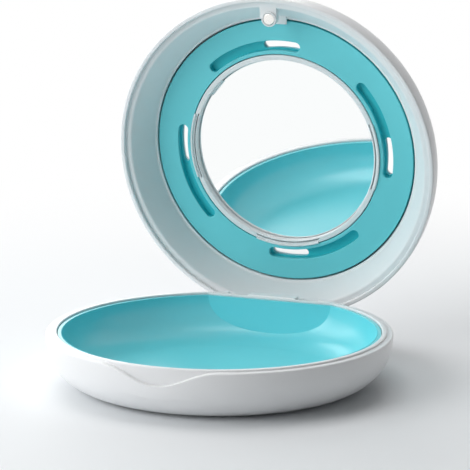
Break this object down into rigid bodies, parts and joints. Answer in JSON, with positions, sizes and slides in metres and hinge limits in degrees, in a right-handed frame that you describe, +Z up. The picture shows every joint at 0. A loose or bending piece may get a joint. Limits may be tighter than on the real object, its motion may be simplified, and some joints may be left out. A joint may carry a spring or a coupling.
{
  "type": "orthodontic retainer case",
  "caption": "Round hinged retainer case with a drop-in tray, a lid mirror inside a rotary vent ring, a thumb notch and a magnetic closure.",
  "frame": {"origin": "centre of the flat rest face under the base", "axes": "+Z up out of the tray, +Y towards the hinge, the thumb notch at -Y"},
  "size_m": [0.088, 0.101, 0.0943],
  "materials": {
    "white_shell": "satin-gloss moulded polypropylene, white",
    "white_liner": "satin moulded polypropylene, white",
    "teal_tray": "satin moulded polypropylene, teal",
    "teal_ring": "satin moulded polypropylene, teal",
    "mirror": "back-silvered glass",
    "pad": "foam tape",
    "pin_steel": "drawn stainless wire",
    "magnet": "nickel-plated"
  },
  "bodies": {
    "base": {"base_shell": "white_shell", "tray_liner": "teal_tray", "base_magnet": "magnet", "hinge_pin": "pin_steel"},
    "lid": {"lid_shell": "white_shell", "lid_liner": "white_liner", "mirror_glass": "mirror", "mirror_pad": "pad", "lid_magnet": "magnet"},
    "ring": {"vent_ring": "teal_ring"}
  },
  "joints": [
    {"name": "lid_hinge", "type": "hinge", "parent": "base", "child": "lid", "pos_m": [0, 0.04075, 0.0097], "axis": [-1, 0, 0], "range_deg": [-82.4, 7.1]},
    {"name": "vent_turn", "type": "hinge", "parent": "lid", "child": "ring", "pos_m": [0, 0.04725, 0.05168], "axis": [0, 0.9912, 0.1323], "range_deg": [0, 28]}
  ]
}
